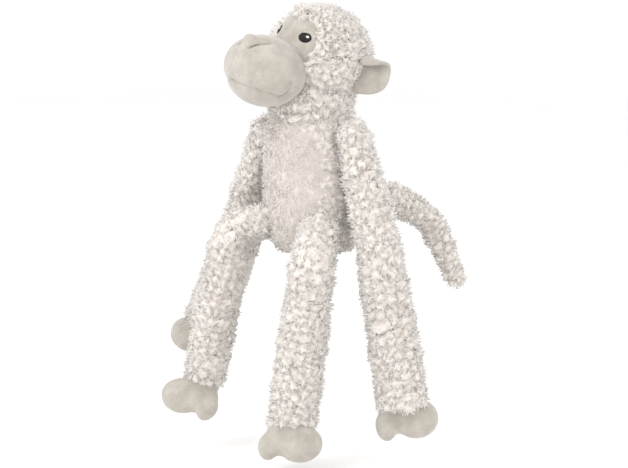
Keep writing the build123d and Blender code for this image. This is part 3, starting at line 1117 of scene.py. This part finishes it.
def make_paw(body, joint, way, across, panels):
    """A mitten of two panels sewn round the edge, from the wrist or ankle to the tips."""
    z = unit(np.array(way, float))
    x = np.array(across, float)
    x = unit(x - z * (x @ z))
    y = np.cross(z, x)
    axes = np.stack([x, y, z], axis=1)
    points, faces, total = [], [], 0
    ball = ball_grid(24, 36)
    for centre, semi in PAW_LOBES:
        points.append(np.array(centre) + ball * np.array(semi))
        faces.append(grid_faces(24, 36)[:, ::-1] + total)
        total += len(ball)
    source = mesh_object(f"{body}_source", np.concatenate(points) * MM, [np.concatenate(faces)], VELBOA)
    remesh = source.modifiers.new("union", "REMESH")
    remesh.mode = "VOXEL"
    remesh.voxel_size = PAW_VOXEL
    remesh.use_smooth_shade = True
    relax = source.modifiers.new("relax", "SMOOTH")
    relax.factor = 0.6
    relax.iterations = 14
    applied(source)
    co = np.zeros(len(source.data.vertices) * 3, np.float32)
    source.data.vertices.foreach_get("co", co)
    co = co.reshape(-1, 3).astype(float)
    normals = np.zeros(len(source.data.vertices) * 3, np.float32)
    source.data.vertices.foreach_get("normal", normals)
    normals = normals.reshape(-1, 3)
    seam = np.exp(-((co[:, 1] / PAW_SEAM_WIDE) ** 2)) * (np.abs(normals[:, 1]) < 0.75)
    co = co - normals * seam[:, None] * PAW_SEAM_DEEP
    co = co @ axes.T + PIVOT[joint]
    source.data.vertices.foreach_set("co", co.astype(np.float32).ravel())
    source.data.update()
    source.name = f"{body}_velboa"
    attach(source, body)
    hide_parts(f"{body}_{panels[0]}", f"{body}_{panels[1]}", f"{body}_stuffing")


for body_name, (joint_name, toward, sideways, panel_names) in PAWS.items():
    make_paw(body_name, joint_name, toward, sideways, panel_names)

# ---------------------------------------------------------------- studio


def make_studio():
    low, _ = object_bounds()
    floor_z = low[2] - FLOOR_DROP
    size = 6.0
    corners = np.array([(-size, -size, 0), (size, -size, 0), (size, size, 0), (-size, size, 0)])
    corners[:, 2] = floor_z
    material, tree, shader = new_material("pale_floor")
    shader.inputs["Roughness"].default_value = 0.9
    shade = mix_colours(tree, noise(tree, 3), (0.93, 0.93, 0.93, 1), (0.96, 0.96, 0.96, 1))
    tree.links.new(shade, shader.inputs["Base Color"])
    floor = mesh_object("floor", corners, [np.array([[0, 1, 2, 3]])], material, smooth=False)
    world = bpy.data.worlds.new("studio")
    world.use_nodes = True
    world.node_tree.nodes["Background"].inputs[0].default_value = (1, 1, 1, 1)
    world.node_tree.nodes["Background"].inputs[1].default_value = 1.05
    bpy.context.scene.world = world
    for name, place, power, size in (
        ("key", (-0.5, -1.3, 1.3), 14, 1.2),
        ("fill", (1.6, -0.9, 0.7), 7, 1.4),
        ("back", (0.3, 1.6, 1.2), 9, 1.2),
    ):
        data = bpy.data.lights.new(name, "AREA")
        data.energy = power
        data.size = size
        lamp = bpy.data.objects.new(name, data)
        lamp.location = place
        lamp.rotation_euler = (Vector((0, 0, 0.03)) - Vector(place)).to_track_quat("-Z", "Y").to_euler()
        bpy.context.scene.collection.objects.link(lamp)


def make_camera():
    a, e = math.radians(CAMERA_AZIMUTH), math.radians(CAMERA_ELEVATION)
    back = Vector((math.sin(a) * math.cos(e), -math.cos(a) * math.cos(e), math.sin(e)))
    data = bpy.data.cameras.new("camera")
    data.lens = CAMERA_LENS
    data.clip_start = 0.01
    camera = bpy.data.objects.new("camera", data)
    camera.location = CAMERA_AIM + back * CAMERA_DISTANCE
    camera.rotation_euler = back.to_track_quat("Z", "Y").to_euler()
    bpy.context.scene.collection.objects.link(camera)
    bpy.context.scene.camera = camera


make_studio()
make_camera()
bpy.context.scene.view_settings.view_transform = "Standard"
